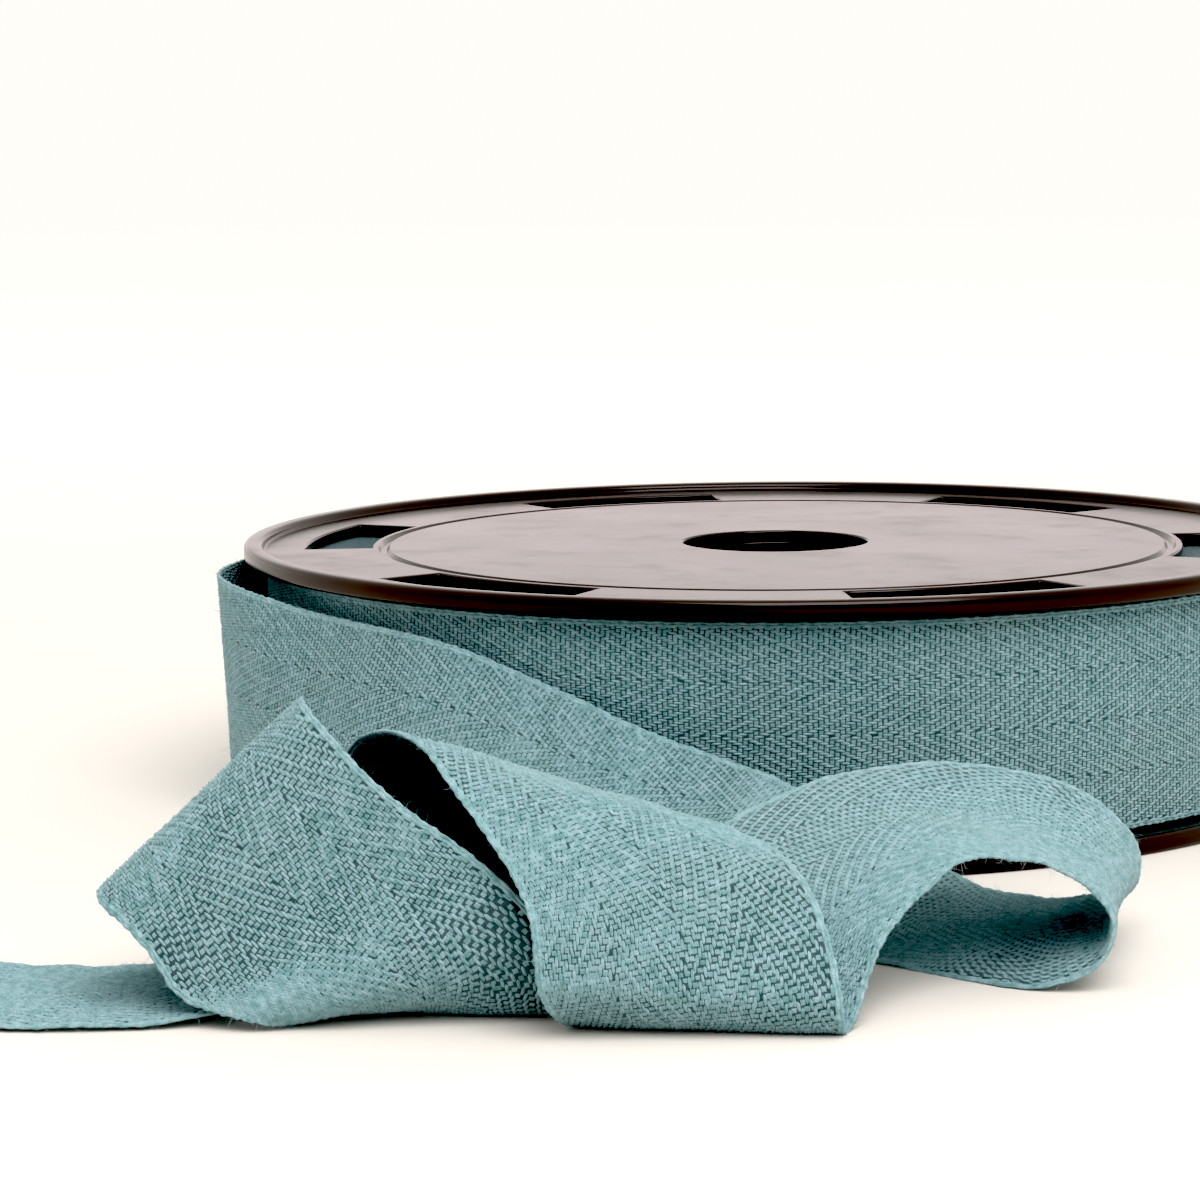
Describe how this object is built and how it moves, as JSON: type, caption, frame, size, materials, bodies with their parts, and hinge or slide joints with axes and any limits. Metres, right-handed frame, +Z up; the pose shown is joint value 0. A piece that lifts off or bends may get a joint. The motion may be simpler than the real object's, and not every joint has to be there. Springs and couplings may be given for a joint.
{
  "type": "roll of twill tape",
  "caption": "Roll of herringbone twill tape wound on a flat plastic reel, with a loose end lying in curls in front of it.",
  "frame": {"origin": "centre of the bounding box, on the surface that the roll and its loose end lie on", "axes": "+Z up along the reel's axis; -Y is the front, where the loose end lies; +X is to the right seen from the front"},
  "size_m": [0.155, 0.1992, 0.0302],
  "materials": {
    "reel_plastic": "glossy dark brown moulded plastic",
    "tape": "matt cotton herringbone twill, grey-green blue"
  },
  "bodies": {
    "root": {"reel_bottom_flange": "reel_plastic", "reel_top_flange": "reel_plastic", "reel_core": "reel_plastic", "tape_winding": "tape", "tape_loose_end": "tape"}
  },
  "joints": []
}
